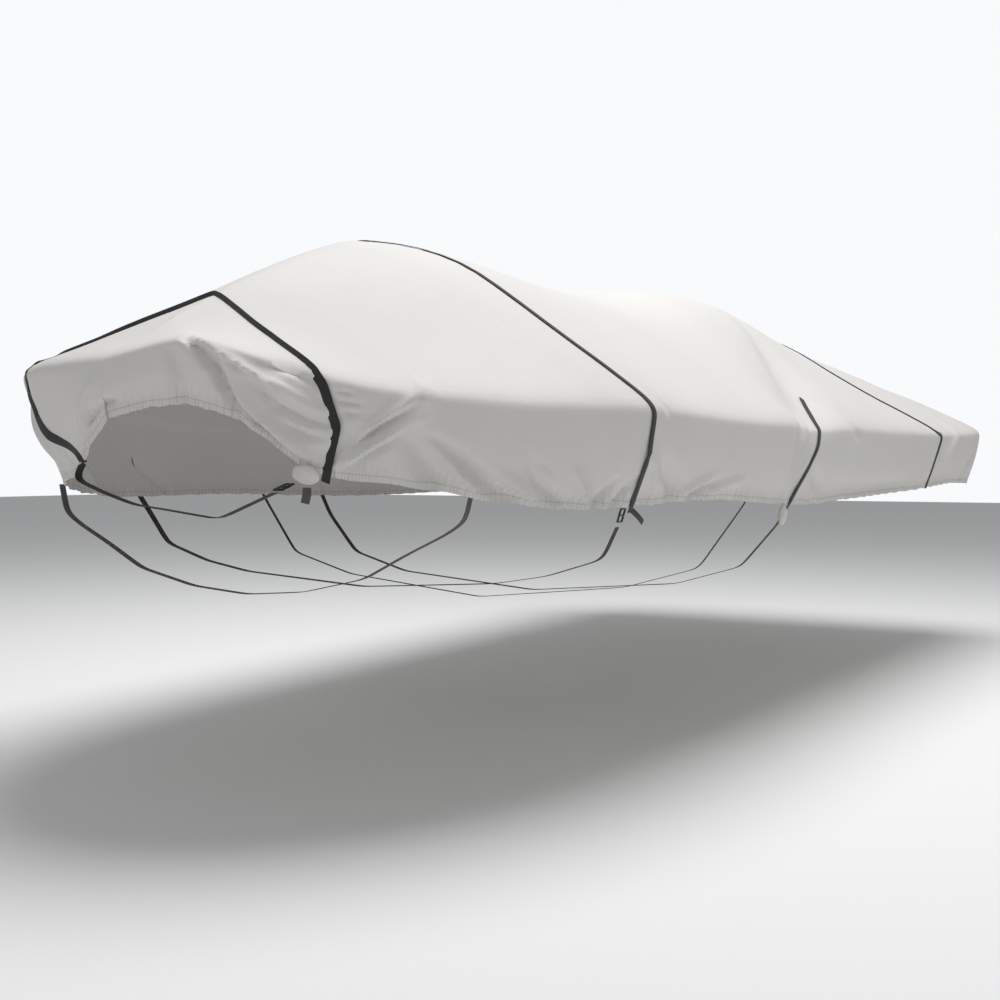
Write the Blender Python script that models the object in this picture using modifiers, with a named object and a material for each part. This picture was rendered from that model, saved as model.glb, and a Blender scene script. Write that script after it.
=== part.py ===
"""Fitted boat cover, as it lies on an open V-hull boat with a windscreen and seats.

Frame: +X aft, +Y starboard, +Z up, in metres. The origin is on the centreline, half way along
the cover, at the underside of its top, where the boat holds it up. Stations are measured aft
from the bow tip and heights up from the ground under the boat, and frame_point turns them
into the frame.
"""

import math

import bmesh
import bpy
from mathutils import Vector

# Driving dimensions, in metres
LENGTH = 5.20                 # cover, bow tip to stern
MOUNT_STATION = LENGTH / 2    # the origin's station
MOUNT_HEIGHT = 1.655          # underside of the top there, above the ground
CLOTH = 0.002                 # coated polyester with its seams taken in
COLUMNS = 66                  # round half the plan, bow tip to middle of the stern
GUNWALE_FILLET = 0.035        # how far each side of the gunwale the cloth bends
CROWN_FILLET = 0.16           # the same along the edge of the raised top
SIDE_BULGE = 0.012            # the side stands out between gunwale and gathered hem
BOW_SPACING = 0.55            # columns this much closer together round the bow
BOW_ROUND = 1.5               # as far as this along the plan
LEVEL_HEIGHT = 0.28           # one level of FOLDS, near enough, on the side of the cover
SECTION_POINTS = 16           # points up a half section
GUNWALE_ROW = 6               # the one at the gunwale

WEBBING_WIDTH = 0.025
WEBBING = 0.0015              # thickness
STRAP_LIFT = 0.0045           # strap's inner face above the cloth
STRAP_DROP = 0.018            # strap's end below the port hem
HEM_INSIDE = 0.007            # sewn webbing, inside the hem's outer face
BUCKLE_HEIGHT = 0.042
BUCKLE_MARGIN = 0.008         # buckle wider than its webbing
BUCKLE_BAR = 0.0035           # width of each bar
BUCKLE_THICKNESS = 0.005
PLAN_STEPS = 40               # the plan is measured this many times between two rows
PLACE_STEP = 0.02             # part of a row over which a direction is taken

# Half the plan, from the bow tip aft and round the stern. station and breadth are those of
# the gunwale edge; gunwale, hem and tuck (how far the hem is drawn in) differ port and
# starboard; top is the station where the row's line reaches the middle; crown_breadth and
# crown are the edge of the raised top, and ridge the height in the middle.
PLAN_COLUMNS = ("station", "breadth", "gunwale_port", "gunwale_stbd", "hem_port", "hem_stbd",
                "tuck_port", "tuck_stbd", "top", "crown_breadth", "crown", "ridge")
PLAN = (
    (0.000, 0.000, 1.205, 1.205, 1.055, 1.050, 0.030, 0.030, 0.26, 0.00, 1.285, 1.335),
    (0.015, 0.120, 1.230, 1.205, 1.078, 0.985, 0.040, 0.060, 0.27, 0.03, 1.288, 1.338),
    (0.050, 0.250, 1.255, 1.200, 1.085, 0.940, 0.055, 0.110, 0.29, 0.06, 1.295, 1.343),
    (0.110, 0.390, 1.210, 1.200, 1.015, 0.920, 0.070, 0.150, 0.33, 0.09, 1.310, 1.355),
    (0.190, 0.520, 1.160, 1.200, 0.912, 0.905, 0.070, 0.160, 0.37, 0.12, 1.335, 1.380),
    (0.300, 0.645, 1.122, 1.190, 0.893, 0.895, 0.065, 0.140, 0.44, 0.15, 1.365, 1.412),
    (0.440, 0.765, 1.108, 1.165, 0.863, 0.880, 0.060, 0.110, 0.53, 0.19, 1.410, 1.455),
    (0.620, 0.870, 1.098, 1.130, 0.832, 0.855, 0.055, 0.080, 0.67, 0.25, 1.465, 1.512),
    (0.840, 0.955, 1.098, 1.110, 0.815, 0.830, 0.075, 0.080, 0.86, 0.31, 1.535, 1.582),
    (1.100, 1.030, 1.100, 1.100, 0.820, 0.825, 0.085, 0.085, 1.10, 0.33, 1.600, 1.650),
    (1.600, 1.085, 1.080, 1.080, 0.828, 0.825, 0.085, 0.085, 1.60, 0.36, 1.570, 1.620),
    (2.050, 1.105, 1.080, 1.080, 0.805, 0.810, 0.085, 0.085, 2.05, 0.44, 1.545, 1.590),
    (2.450, 1.120, 1.080, 1.080, 0.792, 0.800, 0.085, 0.085, 2.45, 0.50, 1.610, 1.645),
    (2.850, 1.130, 1.078, 1.078, 0.800, 0.800, 0.085, 0.085, 2.85, 0.50, 1.640, 1.675),
    (3.200, 1.140, 1.078, 1.078, 0.806, 0.806, 0.085, 0.085, 3.20, 0.50, 1.605, 1.640),
    (3.600, 1.150, 1.082, 1.080, 0.814, 0.812, 0.085, 0.085, 3.60, 0.50, 1.545, 1.575),
    (4.100, 1.162, 1.085, 1.085, 0.828, 0.820, 0.085, 0.085, 4.10, 0.57, 1.475, 1.500),
    (4.600, 1.175, 1.095, 1.095, 0.846, 0.835, 0.085, 0.085, 4.57, 0.66, 1.400, 1.425),
    (4.950, 1.185, 1.112, 1.110, 0.842, 0.840, 0.075, 0.075, 4.84, 0.72, 1.350, 1.380),
    (5.120, 1.165, 1.122, 1.120, 0.832, 0.840, 0.075, 0.075, 4.92, 0.68, 1.335, 1.370),
    (5.180, 1.090, 1.135, 1.135, 0.838, 0.845, 0.075, 0.075, 4.95, 0.62, 1.330, 1.365),
    (5.197, 0.950, 1.165, 1.165, 0.845, 0.850, 0.045, 0.045, 4.97, 0.52, 1.330, 1.362),
    (5.200, 0.600, 1.235, 1.235, 0.855, 0.855, 0.040, 0.040, 4.98, 0.32, 1.332, 1.360),
    (5.200, 0.300, 1.275, 1.275, 0.860, 0.860, 0.040, 0.040, 4.98, 0.16, 1.336, 1.360),
    (5.200, 0.000, 1.290, 1.290, 0.860, 0.860, 0.040, 0.040, 4.98, 0.00, 1.340, 1.360),
)

# Main folds. side is -1 port and +1 starboard; place is the row of PLAN and level is 0 at the
# hem, 1 at the gunwale, 2 at the crown's edge and 3 in the middle, at a fold's two ends.
# width and depth are in metres, and a gully has a negative depth.
FOLDS = (
    ("side", "place_from", "level_from", "place_to", "level_to", "width", "depth"),
    (-1, 2.2, 1.00, 4.3, 0.30, 0.045, 0.014),
    (-1, 2.1, 0.90, 3.3, 0.20, 0.040, -0.014),
    (-1, 3.0, 1.05, 5.0, 0.55, 0.040, -0.010),
    (-1, 6.0, 1.00, 4.7, 0.15, 0.040, -0.016),
    (-1, 6.3, 0.95, 5.3, 0.10, 0.035, 0.012),
    (-1, 11.5, 1.05, 14.5, 1.95, 0.060, -0.022),
    (-1, 11.2, 0.10, 11.3, 0.95, 0.060, 0.008),
    (-1, 17.0, 0.95, 16.6, 0.10, 0.060, -0.010),
    (-1, 18.3, 0.85, 18.2, 0.05, 0.050, -0.012),
    (1, 2.5, 1.00, 4.0, 0.20, 0.045, 0.012),
    (1, 5.8, 1.00, 4.8, 0.15, 0.045, -0.014),
    (1, 11.4, 1.05, 14.2, 1.90, 0.060, -0.018),
    (1, 18.2, 0.90, 18.3, 0.10, 0.050, -0.012),
)

# Straps. places are the rows of PLAN that a strap follows at the port hem, the port gunwale,
# the middle, the starboard gunwale and the starboard hem. sewn is 0 for a strap that goes all
# the way over, or else how many points of a section it has each side, up to the pleat that its
# end is sewn in. station and under are its run under the boat, as distance from the middle and
# height, from the starboard side round to port.
STRAPS = {
    "bow_strap": ((4.2, 4.2, 4.15, 3.6, 2.2), 0, 0.140,
                  ((0.235, 0.900), (0.130, 0.865), (0.020, 0.835), (-0.072, 0.826),
                   (-0.263, 0.804), (-0.440, 0.871))),
    "forward_strap": ((9.0, 9.0, 9.0, 9.0, 9.0), 0, 1.115,
                      ((0.905, 0.745), (0.84, 0.665), (0.66, 0.610), (0.48, 0.580),
                       (0.00, 0.550), (-0.48, 0.580), (-0.66, 0.610), (-0.84, 0.665),
                       (-0.886, 0.758))),
    "middle_strap": ((11.5, 11.92, 14.5, 11.92, 11.5), 9, 2.240,
                     ((0.985, 0.726), (0.85, 0.572), (0.60, 0.500), (0.00, 0.450),
                      (-0.60, 0.500), (-0.85, 0.572), (-0.985, 0.726))),
    "aft_strap": ((16.02, 16.1, 15.2, 16.1, 16.02), 0, 4.110, ()),
}

# Webbing sewn to the hem on both sides, under the boat: row of PLAN, then distance from the
# middle and height on one side, hem to keel.
TIES = {
    "grey_tie": (6.45, ((0.723, 0.790), (0.665, 0.755), (0.541, 0.698), (0.405, 0.629),
                        (0.20, 0.585), (0.00, 0.570))),
    "thin_tie": (10.5, ((0.99, 0.780), (0.85, 0.591), (0.58, 0.515), (0.00, 0.455))),
}

# Buckles: middle of the top edge as station, distance to starboard and height, and the way
# down along the boat's side.
BUCKLES = {
    "bow_buckle": ((0.140, -0.485, 0.892), (0.0, 0.932, -0.361)),
    "forward_buckle": ((1.115, -0.905, 0.812), (0.0, 0.300, -0.954)),
}

# Loose ends: top as station, distance to starboard and height, the run from there to the tip,
# and the direction of the webbing's width.
TAILS = {
    "bow_tail": ((0.185, -0.500, 0.880), (-0.008, 0.000, -0.038), (-0.70, 0.70, 0.00)),
    "forward_tail": ((1.128, -0.928, 0.805), (0.030, -0.020, -0.035), (-0.76, 0.00, -0.65)),
}

# Pouches: centre as station, distance to starboard and height, then size and turn.
POUCHES = {
    "bow_pouch": ((0.205, -0.482, 0.911), (0.072, 0.032, 0.048), (0.0, 0.25, -0.80)),
    "middle_pouch": ((2.150, -1.036, 0.762), (0.050, 0.028, 0.080), (0.0, 0.50, 0.0)),
}


def frame_point(station, across, height):
    """Turn a station, a distance to starboard and a height into the frame."""
    return Vector((station - MOUNT_STATION, across, height - MOUNT_HEIGHT))


def start_scene(name):
    """Empty the scene and give the parts their collection."""
    for thing in list(bpy.data.objects):
        bpy.data.objects.remove(thing, do_unlink=True)
    collection = bpy.data.collections.new(name)
    bpy.context.scene.collection.children.link(collection)
    return collection


def make_material(name, colour, roughness):
    """Return a Principled material for cloth, webbing or plastic."""
    material = bpy.data.materials.new(name)
    material.use_nodes = True
    shader = material.node_tree.nodes["Principled BSDF"]
    shader.inputs["Base Color"].default_value = (*colour, 1.0)
    shader.inputs["Roughness"].default_value = roughness
    shader.inputs["Metallic"].default_value = 0.0
    return material


def spline(values, place):
    """Catmull-Rom value at a row number with a fraction."""
    last = len(values) - 1
    row = min(int(place), last - 1)
    part = place - row
    before = values[max(row - 1, 0)]
    start = values[row]
    end = values[row + 1]
    after = values[min(row + 2, last)]
    slope_start = (end - before) / 2
    slope_end = (after - start) / 2
    square = part * part
    cube = square * part
    return (start * (2 * cube - 3 * square + 1) + slope_start * (cube - 2 * square + part)
            + end * (3 * square - 2 * cube) + slope_end * (cube - square))


def column_values(name):
    """One named column of PLAN."""
    number = PLAN_COLUMNS.index(name)
    return [row[number] for row in PLAN]


LAST_PLACE = len(PLAN) - 1


def measure_plan():
    """Distance walked along the plan at each of PLAN_STEPS places between two rows."""
    stations = column_values("station")
    breadths = column_values("breadth")
    walked = [0.0]
    for index in range(PLAN_STEPS * LAST_PLACE):
        before = index / PLAN_STEPS
        after = (index + 1) / PLAN_STEPS
        run = spline(stations, after) - spline(stations, before)
        rise = spline(breadths, after) - spline(breadths, before)
        walked.append(walked[-1] + math.hypot(run, rise))
    return walked


WALKED = measure_plan()


def distance_along(place):
    """Distance from the bow tip along the plan at a place."""
    index = min(int(place * PLAN_STEPS), PLAN_STEPS * LAST_PLACE - 1)
    part = place * PLAN_STEPS - index
    return WALKED[index] + (WALKED[index + 1] - WALKED[index]) * part


def plan_places(count):
    """Places for the columns: evenly along the plan, and closer together round the bow."""
    weighed = [0.0]
    for before, after in zip(WALKED, WALKED[1:]):
        weight = 1 / BOW_SPACING if before < BOW_ROUND else 1.0
        weighed.append(weighed[-1] + (after - before) * weight)
    result = []
    index = 0
    for number in range(count + 1):
        target = weighed[-1] * number / count
        while index < len(weighed) - 2 and weighed[index + 1] < target:
            index += 1
        part = (target - weighed[index]) / (weighed[index + 1] - weighed[index])
        result.append((index + part) / PLAN_STEPS)
    return result


def bend(start, corner, end, share):
    """Point on the parabola that rounds a corner."""
    return (start * (1 - share) ** 2 + corner * 2 * share * (1 - share) + end * share ** 2)


def towards(point, goal, distance, most):
    """Point a distance from one towards another, no further than a share of the way."""
    away = goal - point
    if away.length < 1e-6:
        return point.copy()
    return point + away * min(distance / away.length, most)


def fold_offset(side, place, level):
    """How far the main folds push the cloth out at a place, in metres."""
    offset = 0.0
    walked = distance_along(place)
    for fold_side, place_from, level_from, place_to, level_to, width, depth in FOLDS[1:]:
        if fold_side != side:
            continue
        start = Vector((distance_along(place_from), level_from * LEVEL_HEIGHT))
        run = Vector((distance_along(place_to), level_to * LEVEL_HEIGHT)) - start
        here = Vector((walked, level * LEVEL_HEIGHT)) - start
        share = min(max(here.dot(run) / run.length_squared, 0.0), 1.0)
        aside = (here - run * share).length
        fade = math.sin(math.pi * (0.12 + 0.76 * share))
        offset += depth * fade * math.exp(-(aside / width) ** 2)
    return offset


def inward_of_plan(place):
    """Unit direction into the boat at a place on the plan's starboard half."""
    if place <= 0.0:
        return Vector((1.0, 0.0))
    if place >= LAST_PLACE:
        return Vector((-1.0, 0.0))
    ahead = min(place + PLACE_STEP, LAST_PLACE)
    behind = max(place - PLACE_STEP, 0.0)
    stations = column_values("station")
    breadths = column_values("breadth")
    along = Vector((spline(stations, ahead) - spline(stations, behind),
                    spline(breadths, ahead) - spline(breadths, behind)))
    along.normalize()
    return Vector((along.y, -along.x))


def section(place, side):
    """Points up one half section at a place on the plan, hem to middle."""
    value = {name: spline(column_values(name), place) for name in PLAN_COLUMNS}
    hand = "_port" if side < 0 else "_stbd"
    breadth = max(value["breadth"], 0.0)
    station = value["station"]
    inward = inward_of_plan(place)
    tuck = value["tuck" + hand]
    hem_breadth = max(breadth + inward.y * tuck, 0.0)
    hem = frame_point(station + inward.x * tuck, side * hem_breadth, value["hem" + hand])
    gunwale = frame_point(station, side * breadth, value["gunwale" + hand])
    reach = 0.75 * (value["top"] - station)
    crown_breadth = max(value["crown_breadth"], 0.0)
    crown = frame_point(station + reach, side * crown_breadth, value["crown"])
    middle = frame_point(value["top"], 0.0, value["ridge"])
    side_top = towards(gunwale, hem, GUNWALE_FILLET, 0.4)
    roof_start = towards(gunwale, crown, GUNWALE_FILLET, 0.4)
    roof_end = towards(crown, gunwale, CROWN_FILLET, 0.4)
    flat_start = towards(crown, middle, CROWN_FILLET, 0.6)
    outward = Vector((-inward.x, -inward.y * side, 0.0))
    roof = crown - gunwale
    along = Vector((-outward.y, outward.x, 0.0))
    upward = along.cross(roof).normalized()
    if upward.z < 0:
        upward.negate()
    points = []
    for share in (0.0, 0.14, 0.36, 0.58, 0.8, 1.0):
        bulge = SIDE_BULGE * math.sin(math.pi * share)
        push = bulge + fold_offset(side, place, share)
        points.append(hem.lerp(side_top, share) + outward * push)
    push = fold_offset(side, place, 1.0)
    points.append(bend(side_top, gunwale, roof_start, 0.5) + (outward + upward) * push / 2)
    for share in (0.0, 0.2, 0.4, 0.6, 0.8, 1.0):
        push = fold_offset(side, place, 1.0 + share)
        points.append(roof_start.lerp(roof_end, share) + upward * push)
    points.append(bend(roof_end, crown, flat_start, 0.5))
    points.append(flat_start)
    points.append(middle)
    return points


def build_cover(collection, material):
    """Loft the cover and give the cloth its thickness inwards."""
    places = plan_places(COLUMNS)
    points = []
    faces = []
    for side in (-1, 1):
        base = len(points)
        half = [section(place, side) for place in places]
        rows = len(half[0])
        for column in half:
            points.extend(column)
        for number in range(len(half) - 1):
            for row in range(rows - 1):
                corner = base + number * rows + row
                face = (corner, corner + rows, corner + rows + 1, corner + 1)
                faces.append(face if side < 0 else face[::-1])
    mesh = bpy.data.meshes.new("cover")
    mesh.from_pydata(points, [], faces)
    mesh.materials.append(material)
    cover = bpy.data.objects.new("cover", mesh)
    collection.objects.link(cover)
    weld = cover.modifiers.new("close the middle", "WELD")
    weld.merge_threshold = 0.0001
    thickness = cover.modifiers.new("cloth", "SOLIDIFY")
    thickness.thickness = CLOTH
    thickness.offset = -1.0
    return cover


def build_ribbon(name, inner, across, collection, material):
    """Make flat webbing whose inner face runs along the points, with its two ends closed.

    Its two faces are split along the same diagonal, so that they stay apart where it twists.
    """
    points = []
    last = len(inner) - 1
    for number, point in enumerate(inner):
        tangent = (inner[min(number + 1, last)] - inner[max(number - 1, 0)]).normalized()
        wide = across[number] - tangent * across[number].dot(tangent)
        wide = wide.normalized() * WEBBING_WIDTH / 2
        outward = wide.cross(tangent).normalized() * WEBBING
        points.extend((point - wide, point + wide, point + wide + outward,
                       point - wide + outward))
    faces = []
    for base, (first, second, third, fourth) in ((0, (0, 1, 2, 3)), (last * 4, (3, 2, 1, 0))):
        faces.append((base + first, base + second, base + third))
        faces.append((base + first, base + third, base + fourth))
    for number in range(last):
        base = number * 4
        for corner in range(4):
            ahead = (corner + 1) % 4
            here, there = base + corner, base + ahead
            if corner < 2:
                faces.append((here, here + 4, there + 4))
                faces.append((here, there + 4, there))
            else:
                faces.append((here, here + 4, there))
                faces.append((there, here + 4, there + 4))
    mesh = bpy.data.meshes.new(name)
    mesh.from_pydata(points, [], faces)
    mesh.materials.append(material)
    ribbon = bpy.data.objects.new(name, mesh)
    collection.objects.link(ribbon)
    return ribbon


def strap_over_cover(places):
    """Inner face and width direction of a strap over the cover, port hem to starboard hem."""
    inner = []
    across = []
    for side, (hem, gunwale, middle) in ((-1, places[:3]), (1, places[:1:-1])):
        half = []
        for row in range(SECTION_POINTS):
            low = min(row / GUNWALE_ROW, 1.0)
            high = max(row - GUNWALE_ROW, 0) / (SECTION_POINTS - 1 - GUNWALE_ROW)
            place = hem + (gunwale - hem) * low + (middle - gunwale) * high
            ahead = section(place + PLACE_STEP, side)[row]
            behind = section(place - PLACE_STEP, side)[row]
            half.append((section(place, side)[row], (ahead - behind).normalized()))
        if side > 0:
            half = half[-2::-1]
        inner.extend(point for point, along in half)
        across.extend(along for point, along in half)
    lifted = []
    last = len(inner) - 1
    for number, point in enumerate(inner):
        tangent = inner[min(number + 1, last)] - inner[max(number - 1, 0)]
        outward = across[number].cross(tangent).normalized()
        lifted.append(point + outward * STRAP_LIFT)
    return lifted, across


def build_strap(name, collection, material):
    """Strap over the cover, or round it from pleat to pleat, and back under the boat."""
    places, sewn, station, under = STRAPS[name]
    inner, across = strap_over_cover(places)
    below = [frame_point(station, aside, height) for aside, height in under]
    sideways = [Vector((1.0, 0.0, 0.0))] * len(below)
    if sewn:
        inner = inner[-sewn:] + below + inner[:sewn]
        across = across[-sewn:] + sideways + across[:sewn]
    elif below:
        first = inner[0] + (inner[0] - inner[1]).normalized() * STRAP_DROP
        inner = [first] + inner + below
        across = [across[0]] + across + sideways
    return build_ribbon(name, inner, across, collection, material)


def build_tie(name, place, half, collection, material):
    """Webbing under the boat, sewn inside the hem on the starboard and port sides."""
    inner = []
    across = []
    for side in (1, -1):
        hem, higher = section(place, side)[:2]
        step = section(place + PLACE_STEP, side)[0] - section(place - PLACE_STEP, side)[0]
        along = Vector((step.x, step.y, 0.0)).normalized()
        inward = Vector((-along.y, along.x, 0.0)) * side
        start = hem.lerp(higher, 0.5) + inward * HEM_INSIDE
        route = [(start, along), (hem + inward * HEM_INSIDE, along)]
        for aside, height in half:
            below = frame_point(0.0, side * aside, height)
            below.x = hem.x
            route.append((below, Vector((1.0, 0.0, 0.0))))
        if side < 0:
            route = route[-2::-1]
        for point, wide in route:
            inner.append(point)
            across.append(wide)
    return build_ribbon(name, inner, across, collection, material)


def build_buckle(name, collection, material):
    """Ladder-lock buckle: a frame with three bars, flat against the boat's side."""
    (station, aside, height), down = BUCKLES[name]
    top = frame_point(station, aside, height)
    down = Vector(down).normalized()
    wide = Vector((1.0, 0.0, 0.0))
    outward = wide.cross(down)
    if outward.z > 0:
        outward.negate()
    width = WEBBING_WIDTH + BUCKLE_MARGIN
    middle = BUCKLE_HEIGHT / 2
    half = BUCKLE_BAR / 2
    levels = (0.0, BUCKLE_BAR, middle - half, middle + half, BUCKLE_HEIGHT - BUCKLE_BAR,
              BUCKLE_HEIGHT)
    sides = (-width / 2, -width / 2 + BUCKLE_BAR, width / 2 - BUCKLE_BAR, width / 2)
    corners = []
    faces = []
    for level in levels:
        for across in sides:
            for layer in (0.0, BUCKLE_THICKNESS):
                corners.append(top + down * level + wide * across + outward * layer)
    count = len(sides)

    def corner(row, column, layer):
        return (row * count + column) * 2 + layer

    for row in range(len(levels) - 1):
        for column in range(count - 1):
            if column == 1 and row in (1, 3):
                continue
            ring = [(row, column), (row + 1, column), (row + 1, column + 1), (row, column + 1)]
            faces.append([corner(*place, 1) for place in ring])
            faces.append([corner(*place, 0) for place in reversed(ring)])
    open_edges = [((row, column), (row, column + 1)) for row, column in
                  [(0, 0), (0, 1), (0, 2), (2, 1), (4, 1)]]
    open_edges += [((row, column + 1), (row, column)) for row, column in
                   [(5, 0), (5, 1), (5, 2), (1, 1), (3, 1)]]
    open_edges += [((row + 1, 0), (row, 0)) for row in range(5)]
    open_edges += [((row, 3), (row + 1, 3)) for row in range(5)]
    open_edges += [((row, 1), (row + 1, 1)) for row in (1, 3)]
    open_edges += [((row + 1, 2), (row, 2)) for row in (1, 3)]
    for start, end in open_edges:
        faces.append([corner(*start, 0), corner(*end, 0), corner(*end, 1), corner(*start, 1)])
    mesh = bpy.data.meshes.new(name)
    mesh.from_pydata(corners, [], faces)
    shape = bmesh.new()
    shape.from_mesh(mesh)
    bmesh.ops.recalc_face_normals(shape, faces=shape.faces)
    shape.to_mesh(mesh)
    shape.free()
    mesh.materials.append(material)
    buckle = bpy.data.objects.new(name, mesh)
    collection.objects.link(buckle)
    return buckle


def build_pouch(name, collection, material):
    """Small stuffed cloth bag, an uneven oval."""
    (station, aside, height), size, turn = POUCHES[name]
    centre = frame_point(station, aside, height)
    bpy.ops.mesh.primitive_uv_sphere_add(segments=14, ring_count=8, radius=0.5, location=centre)
    pouch = bpy.context.active_object
    pouch.name = name
    pouch.data.name = name
    pouch.scale = size
    pouch.rotation_euler = turn
    pouch.data.materials.append(material)
    for other in list(pouch.users_collection):
        other.objects.unlink(pouch)
    collection.objects.link(pouch)
    return pouch


def build_tail(name, collection, material):
    """Loose end of a strap, hanging by its buckle."""
    (station, aside, height), run, width = TAILS[name]
    top = frame_point(station, aside, height)
    inner = [top, top + Vector(run) / 2, top + Vector(run)]
    return build_ribbon(name, inner, [Vector(width)] * len(inner), collection, material)


parts = start_scene("boat_cover")
polyester = make_material("polyester_cloth", (0.72, 0.71, 0.69), 0.75)
webbing = make_material("polypropylene_webbing", (0.016, 0.015, 0.014), 0.6)
grey_webbing = make_material("grey_webbing", (0.10, 0.095, 0.09), 0.65)
acetal = make_material("acetal_plastic", (0.02, 0.02, 0.022), 0.35)

build_cover(parts, polyester)
for strap_name in STRAPS:
    build_strap(strap_name, parts, webbing)
for tie_name, (tie_place, tie_half) in TIES.items():
    tie_material = grey_webbing if tie_name == "grey_tie" else webbing
    build_tie(tie_name, tie_place, tie_half, parts, tie_material)
for buckle_name in BUCKLES:
    build_buckle(buckle_name, parts, acetal)
for tail_name in TAILS:
    build_tail(tail_name, parts, grey_webbing)
for pouch_name in POUCHES:
    build_pouch(pouch_name, parts, polyester)
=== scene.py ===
import math

import bmesh
import bpy
import numpy as np
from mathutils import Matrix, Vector, noise
from mathutils.bvhtree import BVHTree


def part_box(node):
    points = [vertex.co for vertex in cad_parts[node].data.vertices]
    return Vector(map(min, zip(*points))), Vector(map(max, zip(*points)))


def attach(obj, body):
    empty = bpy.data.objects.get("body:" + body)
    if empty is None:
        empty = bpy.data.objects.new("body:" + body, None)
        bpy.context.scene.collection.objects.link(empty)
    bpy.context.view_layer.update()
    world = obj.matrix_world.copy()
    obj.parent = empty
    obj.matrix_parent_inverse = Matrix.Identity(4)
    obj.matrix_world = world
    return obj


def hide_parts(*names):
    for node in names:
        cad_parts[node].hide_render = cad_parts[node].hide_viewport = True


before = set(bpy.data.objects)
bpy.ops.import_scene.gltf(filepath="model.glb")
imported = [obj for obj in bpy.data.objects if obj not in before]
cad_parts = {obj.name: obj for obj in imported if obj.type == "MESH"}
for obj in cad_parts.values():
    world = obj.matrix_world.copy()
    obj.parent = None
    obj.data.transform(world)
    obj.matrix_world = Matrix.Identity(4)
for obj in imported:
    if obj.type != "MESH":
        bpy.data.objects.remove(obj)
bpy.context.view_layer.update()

# ---------------------------------------------------------------------------------------------
# Studio. The cover stands as if the boat under it were on its trailer, so the floor is the
# ground 1.655 m below the top. The light is an even overcast sky with a little more from above.

GROUND = -1.655
MOUNT_STATION = 2.60          # the origin, aft of the bow tip


def hex_colour(code):
    """Linear colour of an sRGB hex value."""
    channels = [int(code[place:place + 2], 16) / 255 for place in (1, 3, 5)]
    linear = [c / 12.92 if c <= 0.04045 else ((c + 0.055) / 1.055) ** 2.4 for c in channels]
    return (*linear, 1.0)


def add_node(tree, kind, links=(), **settings):
    """Add one node with its settings; links are (socket, source) and numbers go in sockets."""
    node = tree.nodes.new(kind)
    for name, value in settings.items():
        setattr(node, name, value)
    for socket, source in links:
        if isinstance(source, bpy.types.NodeSocket):
            tree.links.new(source, node.inputs[socket])
        else:
            node.inputs[socket].default_value = source
    return node


def new_material(name):
    """A material with an empty Principled shader, its tree and the shader."""
    material = bpy.data.materials.new(name)
    material.use_nodes = True
    tree = material.node_tree
    return material, tree, tree.nodes["Principled BSDF"]


camera_data = bpy.data.cameras.new("camera")
camera_data.lens = 48.6
camera_data.sensor_width = 36.0
camera_data.shift_y = -0.035
camera_data.clip_end = 200.0
camera = bpy.data.objects.new("camera", camera_data)
camera.location = (-2.40 - MOUNT_STATION, -2.53, 0.935 + GROUND)
camera.rotation_euler = (math.radians(90), 0.0, math.radians(-60))
bpy.context.scene.collection.objects.link(camera)
bpy.context.scene.camera = camera
bpy.context.scene.view_settings.view_transform = "Standard"

bpy.ops.object.select_all(action="DESELECT")
bpy.ops.mesh.primitive_plane_add(size=60.0, location=(0.0, 0.0, GROUND))
floor = bpy.context.active_object
floor.name = "studio_floor"
floor_paint, tree, shader = new_material("matt white studio paint")
shader.inputs["Base Color"].default_value = hex_colour("#F4F4F3")
shader.inputs["Roughness"].default_value = 0.9
floor.data.materials.append(floor_paint)

world = bpy.data.worlds.new("overcast sky")
world.use_nodes = True
sky = world.node_tree.nodes["Background"]
sky.inputs["Color"].default_value = hex_colour("#F6F8FA")
path = add_node(world.node_tree, "ShaderNodeLightPath")
seen = add_node(world.node_tree, "ShaderNodeMapRange",
                [("Value", path.outputs["Is Camera Ray"]), ("To Min", 0.36), ("To Max", 1.02)])
world.node_tree.links.new(seen.outputs["Result"], sky.inputs["Strength"])
bpy.context.scene.world = world

for name, place, aim, size, power in (
        ("sky_light", (0.0, -0.6, 5.5), (0.0, 0.0, -0.5), 5.5, 430.0),
        ("side_light", (-8.0, 0.5, 2.4), (-1.5, -0.9, -0.8), 1.2, 20.0)):
    lamp = bpy.data.lights.new(name, "AREA")
    lamp.shape = "DISK"
    lamp.size = size
    lamp.energy = power
    light = bpy.data.objects.new(name, lamp)
    light.location = place
    light.rotation_euler = (Vector(aim) - Vector(place)).to_track_quat("-Z", "Y").to_euler()
    bpy.context.scene.collection.objects.link(light)

# ---------------------------------------------------------------------------------------------
# Cover. One sheet of coated polyester, pulled over the windscreen and seats and drawn in under
# the gunwale by the elastic cord in its hem. It is laid on its CAD shell: slices from the
# middle outwards give the cloth's big form, and the folds below are then pressed into it.

COLUMNS = 450                 # round each half, bow to stern
SIDE_ROWS = 30                # hem to gunwale
ROOF_ROWS = 18                # gunwale to middle
SLICE_RAYS = 150
SLICE_HEIGHT = -0.80          # slices fan out from the centreline at this height
BOW_FAN = (-2.28, -1.62)      # where the slices start that swing round the bow
STERN_FAN = (2.20, 2.33)
CLOTH = 0.0014
HEM_WIDTH = 0.017             # the turned hem with its elastic


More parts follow.
